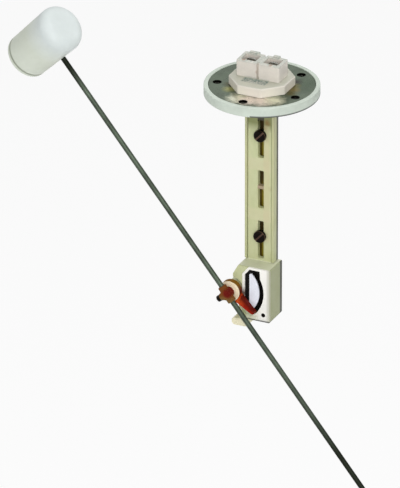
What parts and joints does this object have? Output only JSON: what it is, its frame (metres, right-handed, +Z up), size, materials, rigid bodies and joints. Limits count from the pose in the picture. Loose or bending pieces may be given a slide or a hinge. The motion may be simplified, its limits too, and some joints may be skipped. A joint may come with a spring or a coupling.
{
  "type": "fuel level sender",
  "caption": "Tank level sender: round flange with a plug connector, depth-adjustable slotted leg, pivoting wiper on a wound resistance card, and a sliding rod with a float.",
  "frame": {"origin": "centre of the bolt circle on the flange gasket's underside, where it seals on the tank", "axes": "+Z up through the connector, out of the tank; -Y to the front, with the slots, the window and the hub; +X to the right seen from the front; the float stands to -X"},
  "size_m": [0.2461, 0.0743, 0.2925],
  "materials": {
    "plated_plate": "dull zinc plating, slightly stained",
    "gasket_rubber": "pale matt rubber",
    "connector_plastic": "pinkish white moulding, satin",
    "seal_rubber": "dark matt rubber",
    "blade_metal": "tin plated",
    "cream_bracket": "greenish cream passivated steel",
    "rivet_metal": "plain",
    "dark_screw": "black oxide",
    "cream_plastic": "greenish cream moulding",
    "white_cover": "white moulding",
    "white_former": "white moulding",
    "black_winding": "black enamelled wire",
    "bush_brass": "turned",
    "tag_brass": "stamped",
    "hub_plastic": "orange-red moulding",
    "collar_plastic": "pinkish white moulding",
    "pin_steel": "ground",
    "clip_steel": "spring steel",
    "spring_bronze": "spring bronze strip",
    "contact_metal": "plated contact",
    "rod_steel": "drawn wire, dull",
    "float_plastic": "white moulding, satin"
  },
  "bodies": {
    "head": {"flange_plate": "plated_plate", "flange_gasket": "gasket_rubber", "terminal_housing": "connector_plastic", "connector_seal": "seal_rubber", "terminal_blade_left": "blade_metal", "terminal_blade_right": "blade_metal", "upper_bracket": "cream_bracket", "bracket_rivets": "rivet_metal", "strut_screws": "dark_screw", "strut_nuts": "dark_screw"},
    "leg": {"sensor_body": "cream_plastic", "cover_plate": "white_cover", "cover_screw": "dark_screw", "card_former": "white_former", "resistance_card": "black_winding", "bearing_bush": "bush_brass", "solder_tags": "tag_brass"},
    "wiper": {"wiper_hub": "hub_plastic", "hub_collar": "collar_plastic", "pivot_pin": "pin_steel", "retaining_clip": "clip_steel", "contact_spring": "spring_bronze", "contact_button": "contact_metal", "clamp_screw": "dark_screw"},
    "arm": {"float_rod": "rod_steel", "float_body": "float_plastic", "float_cap": "float_plastic"}
  },
  "joints": [
    {"name": "depth_slide", "type": "slide", "parent": "head", "child": "leg", "axis": [0, 0, -1], "range_m": [0, 0.0075]},
    {"name": "float_swing", "type": "hinge", "parent": "leg", "child": "wiper", "pos_m": [-0.0125, -0.0225, -0.1263], "axis": [0, -1, 0], "range_deg": [0, 78]},
    {"name": "rod_slide", "type": "slide", "parent": "wiper", "child": "arm", "axis": [-0.6266, 0, 0.7793], "range_m": [-0.1, 0.12]}
  ]
}
